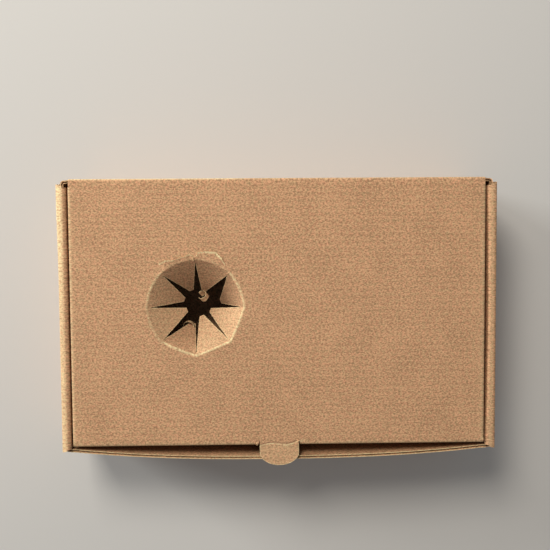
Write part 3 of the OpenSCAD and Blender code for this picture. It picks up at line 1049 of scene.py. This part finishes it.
class Nodes:
    """Short calls for a material's node tree."""

    def __init__(self, name):
        self.material = bpy.data.materials.new(name)
        self.material.use_nodes = True
        self.tree = self.material.node_tree
        self.shader = self.tree.nodes["Principled BSDF"]

    def add(self, kind, inputs=None, **settings):
        node = self.tree.nodes.new(kind)
        for key, value in settings.items():
            setattr(node, key, value)
        for key, value in (inputs or {}).items():
            if isinstance(value, bpy.types.NodeSocket):
                self.tree.links.new(value, node.inputs[key])
            else:
                node.inputs[key].default_value = value
        return node

    def math(self, operation, a, b=0.0):
        return self.add("ShaderNodeMath", {0: a, 1: b}, operation=operation).outputs[0]

    def noise(self, vector, scale, detail=2.0, roughness=0.5):
        return self.add(
            "ShaderNodeTexNoise",
            {"Vector": vector, "Scale": scale, "Detail": detail, "Roughness": roughness}).outputs[0]

    def mix(self, factor, a, b, blend="MIX"):
        node = self.add("ShaderNodeMix", data_type="RGBA", blend_type=blend)
        for key, value in ((0, factor), (6, a), (7, b)):
            if isinstance(value, bpy.types.NodeSocket):
                self.tree.links.new(value, node.inputs[key])
            else:
                node.inputs[key].default_value = value
        return node.outputs[2]

    def stretch(self, vector, scale):
        return self.add("ShaderNodeMapping", {"Vector": vector, "Scale": scale}).outputs[0]

    def span(self, value, low, high, to_low=0.0, to_high=1.0):
        return self.add(
            "ShaderNodeMapRange",
            {"Value": value, "From Min": low, "From Max": high, "To Min": to_low,
             "To Max": to_high}).outputs[0]


def kraft(name, colour, pitch, grain=1.0, bands=1.0):
    """Kraft paper: long fibres along the flutes, cloudy tone, pale and dark flecks, flute bands."""
    nodes = Nodes(name)
    flat = nodes.add("ShaderNodeAttribute", attribute_name="flat").outputs["Vector"]
    clouds = nodes.noise(flat, CLOUDS, 3, 0.6)
    fibres = nodes.noise(nodes.stretch(flat, (0.55, 1, 1)), FIBRES, 4, 0.8)
    mottle = nodes.noise(nodes.stretch(flat, (0.9, 1, 1)), MOTTLE, 3, 0.75)
    tint = nodes.noise(flat, TINT, 3, 0.7)
    flecks = nodes.noise(nodes.stretch(flat, (0.6, 1, 1)), FLECKS, 2, 0.5)
    parts = nodes.add("ShaderNodeSeparateXYZ", {"Vector": flat})
    turn = nodes.math("MULTIPLY", parts.outputs[1], 2 * math.pi / pitch)
    band = nodes.math("SINE", turn)
    dark = tuple(0.64 * c for c in colour) + (1,)
    pale = tuple(min(1, 1.36 * c + 0.02) for c in colour) + (1,)
    tone = nodes.span(clouds, 0.3, 0.7, -0.12, 0.12)
    speck = nodes.span(fibres, 0.3, 0.7, -1.1 * grain, 1.1 * grain)
    blot = nodes.span(mottle, 0.3, 0.7, -0.65 * grain, 0.65 * grain)
    stripe = nodes.math("MULTIPLY", band, 0.06 * bands)
    total = nodes.math("ADD", nodes.math("ADD", tone, speck), nodes.math("ADD", blot, stripe))
    share = nodes.math("ADD", total, 0.5)
    base = nodes.mix(nodes.span(share, 0, 1), dark, pale)
    light = nodes.span(flecks, 0.66, 0.74, 0, 0.5 * grain)
    base = nodes.mix(light, base, tuple(min(1, 1.35 * c + 0.06) for c in colour) + (1,))
    deep = nodes.span(flecks, 0.34, 0.27, 0, 0.45 * grain)
    base = nodes.mix(deep, base, tuple(0.55 * c for c in colour) + (1,))
    pinker, yellower = (1.07, 0.96, 0.96, 1), (0.93, 1.03, 0.97, 1)
    cast = nodes.mix(nodes.span(tint, 0.35, 0.65), pinker, yellower)
    base = nodes.mix(1.0, base, cast, "MULTIPLY")
    # The attribute read here: above 0 pales the colour, for real torn and cut edges and for painted
    # highlights; below 0 darkens it, which is painted shade.
    worn = nodes.add("ShaderNodeAttribute", attribute_name="worn").outputs["Fac"]
    ragged = nodes.span(nodes.noise(flat, RAGGED, 2, 0.6), 0.38, 0.62, 0.25, 1.5)
    pale_wear_and_highlight_share = nodes.math("MULTIPLY", nodes.math("MAXIMUM", worn, 0.0), ragged)
    base = nodes.mix(nodes.span(pale_wear_and_highlight_share, 0, 1), base, PALE_FIBRE_AND_HIGHLIGHT)
    # Painted shade: where the attribute is below 0 the colour is darkened.
    painted_shade_share = nodes.math("MULTIPLY", worn, -1.0)
    base = nodes.mix(nodes.span(painted_shade_share, 0, 1), base, tuple(0.35 * c for c in colour) + (1,))
    nodes.tree.links.new(base, nodes.shader.inputs["Base Color"])
    rough = nodes.span(fibres, 0.3, 0.7, 0.78, 0.95)
    nodes.tree.links.new(rough, nodes.shader.inputs["Roughness"])
    nodes.shader.inputs["Specular IOR Level"].default_value = 0.3
    relief = nodes.math("ADD", fibres, nodes.math("MULTIPLY", mottle, 0.7))
    bump = nodes.add(
        "ShaderNodeBump", {"Strength": 0.5, "Distance": 0.00006, "Height": relief})
    nodes.tree.links.new(bump.outputs[0], nodes.shader.inputs["Normal"])
    return nodes.material


def finishes(colours, sizes):
    """The board's materials, made once and shared by every piece."""
    made = {material.name for material in bpy.data.materials}
    wanted = {
        "kraft_outer": (colours.outer, 1.0, 1.0),
        "kraft_inner": (colours.inner, 1.0, 1.0),
        "kraft_fluting": (colours.fluting, 0.8, 0.0),
        "kraft_cut_edge": (colours.cut_edge, 0.9, 0.0),
    }
    for name, (colour, grain, bands) in wanted.items():
        if name not in made:
            kraft(name, tuple(colour), sizes.flute_pitch, grain, bands)
    return {name: bpy.data.materials[name] for name in wanted}


PLIES = {"outer": "kraft_outer", "fluting": "kraft_fluting", "inner": "kraft_inner"}


def build_plies(context, prefix, lobes):
    """Builds the three plies of a piece of board, and gives them back."""
    sizes, colours = context.scene.box_sizes, context.scene.box_colours
    layout = Layout(sizes)
    paints = finishes(colours, sizes)
    pieces = []
    for ply, paint in PLIES.items():
        name = f"{prefix}_{ply}_facing" if ply != "fluting" else f"{prefix}_fluting"
        mesh = board_mesh(name, lobes, ply, sizes, layout)
        piece = place(name, mesh, (paints[paint], paints["kraft_cut_edge"]))
        pieces.append(piece)
    return pieces


# Operators ----------------------------------------------------------------------------

class BOX_OT_tray(Operator):
    """Fold the tray: base, rolled-over side walls, bowed front wall, rear wall and dust flaps"""

    bl_idname = "box.tray"
    bl_label = "Tray"

    def execute(self, context):
        layout = Layout(context.scene.box_sizes)
        wall_seam = layout.hinge_tray + layout.crease_length(90) - layout.crease

        def side_seams(u, v):
            return abs(u) < layout.side_at and min(
                abs(v - layout.base_front), abs(v - layout.base_rear)) < SEAM

        def front_seams(u, v):
            return v < SEAM

        def rear_seams(u, v):
            return v < SEAM or abs(v - wall_seam) < SEAM and abs(u) < layout.x_lid

        lobes = (
            (side_blank, fold_side, side_seams, side_painted_highlight),
            (front_blank, fold_front, front_seams, front_edge_pale),
            (rear_blank, fold_rear, rear_seams, rear_wear),
        )
        for piece in build_plies(context, "tray", lobes):
            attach(piece, "tray_body")
            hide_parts("tray")
        return {"FINISHED"}


class BOX_OT_lid(Operator):
    """Fold the lid: panel, wings, tuck-in flap, thumb tab and the star's pushed-in petals"""

    bl_idname = "box.lid"
    bl_label = "Lid"

    def execute(self, context):
        layout = Layout(context.scene.box_sizes)

        def seams(u, v):
            return abs(v - layout.hinge_lid) < SEAM and abs(u) < layout.x_lid

        for piece in build_plies(context, "lid", ((lid_blank, fold_lid, seams, lid_wear_and_painted_light),)):
            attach(piece, "lid_body")
            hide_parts("lid")
        return {"FINISHED"}


class BOX_OT_hinge_crease(Operator):
    """Fold the strip of board that carries the lid, shaped as it is with the lid shut"""

    bl_idname = "box.hinge_crease"
    bl_label = "Hinge crease"

    def execute(self, context):
        lobes = ((hinge_blank, fold_hinge, lambda u, v: True, hinge_painted_highlight),)
        for piece in build_plies(context, "hinge", lobes):
            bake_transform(piece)
        return {"FINISHED"}


class BOX_OT_tears(Operator):
    """Roll up the torn facing at the star's petals, and lift it beyond the circle and at the tab"""

    bl_idname = "box.tears"
    bl_label = "Tears"

    def execute(self, context):
        layout = Layout(context.scene.box_sizes)
        paints = finishes(context.scene.box_colours, context.scene.box_sizes)
        star = Vector((*STAR_AT, layout.top))
        tab = Vector((0, layout.y_lid + TAB_LINE, layout.top))
        meshes = [curl_mesh(f"star_curl_{name}", star, *curl) for name, curl in TEAR_CURLS.items()]
        meshes += [curl_mesh(f"tab_nub_{name}", tab, *curl) for name, curl in TAB_NUBS.items()]
        meshes += [tear_mesh(f"star_tear_{name}", star, edge, layout)
                   for name, edge in TEAR_EDGES.items()]
        for mesh in meshes:
            piece = place(mesh.name, mesh, (paints["kraft_outer"], paints["kraft_cut_edge"]))
            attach(piece, "lid_body")
        return {"FINISHED"}


def soft_lamp(name, azimuth, elevation, distance, size, power, colour):
    """A square lamp that looks at the box from a direction, in degrees round from +X and
    above the floor."""
    light = bpy.data.lights.new(name, "AREA")
    light.shape, light.size, light.energy, light.color = "SQUARE", size, power, colour
    lamp = bpy.data.objects.new(name, light)
    turn, rise = math.radians(azimuth), math.radians(elevation)
    way = Vector((math.cos(rise) * math.cos(turn), math.cos(rise) * math.sin(turn), math.sin(rise)))
    lamp.location = way * distance + Vector((0, 0, TRAY_HIGH.z))
    lamp.rotation_euler = way.to_track_quat("Z", "Y").to_euler()
    bpy.context.scene.collection.objects.link(lamp)


class BOX_OT_stage(Operator):
    """Set up the floor, the soft light and the camera"""

    bl_idname = "box.stage"
    bl_label = "Stage"

    def execute(self, context):
        scene = context.scene
        bm = bmesh.new()
        bmesh.ops.create_grid(bm, x_segments=1, y_segments=1, size=2)
        mesh = bpy.data.meshes.new("floor")
        bm.to_mesh(mesh)
        bm.free()
        paint = Nodes("floor_paint")
        paint.shader.inputs["Base Color"].default_value = (*scene.box_colours.floor, 1)
        paint.shader.inputs["Roughness"].default_value = 0.85
        place("floor", mesh, (paint.material,))

        world = bpy.data.worlds.new("studio")
        scene.world = world
        world.use_nodes = True
        sky = world.node_tree.nodes["Background"]
        sky.inputs["Color"].default_value = SKY_COLOUR
        sky.inputs["Strength"].default_value = SKY_STRENGTH
        for name, lamp in LAMPS.items():
            soft_lamp(name, *lamp)

        view = bpy.data.cameras.new("camera")
        view.sensor_width = SENSOR
        view.lens = SENSOR * FOCAL
        camera = bpy.data.objects.new("camera", view)
        camera.location = CAMERA_AT
        camera.rotation_euler = Euler([math.radians(turn) for turn in CAMERA_TURN], "XYZ")
        scene.collection.objects.link(camera)
        scene.camera = camera
        scene.view_settings.view_transform = "Standard"
        return {"FINISHED"}


class BOX_PT_panel(Panel):
    """The pieces of the side order box"""

    bl_idname = "BOX_PT_panel"
    bl_label = "Side order box"
    bl_space_type = "VIEW_3D"
    bl_region_type = "UI"
    bl_category = "Side order box"

    def draw(self, context):
        for group in (context.scene.box_sizes, context.scene.box_colours):
            for name in group.bl_rna.properties.keys():
                if name not in ("rna_type", "name"):
                    self.layout.prop(group, name)
        for name in STEPS:
            self.layout.operator(f"box.{name}")


STEPS = ("tray", "lid", "hinge_crease", "tears", "stage")
CLASSES = (
    BoxSizes, BoxColours, BOX_OT_tray, BOX_OT_lid, BOX_OT_hinge_crease, BOX_OT_tears,
    BOX_OT_stage, BOX_PT_panel)


def register():
    for kind in CLASSES:
        bpy.utils.register_class(kind)
    bpy.types.Scene.box_sizes = PointerProperty(type=BoxSizes)
    bpy.types.Scene.box_colours = PointerProperty(type=BoxColours)


def unregister():
    del bpy.types.Scene.box_sizes
    del bpy.types.Scene.box_colours
    for kind in reversed(CLASSES):
        bpy.utils.unregister_class(kind)


def main():
    register()
    for name in STEPS:
        getattr(bpy.ops.box, name)()


if __name__ == "__main__":
    main()
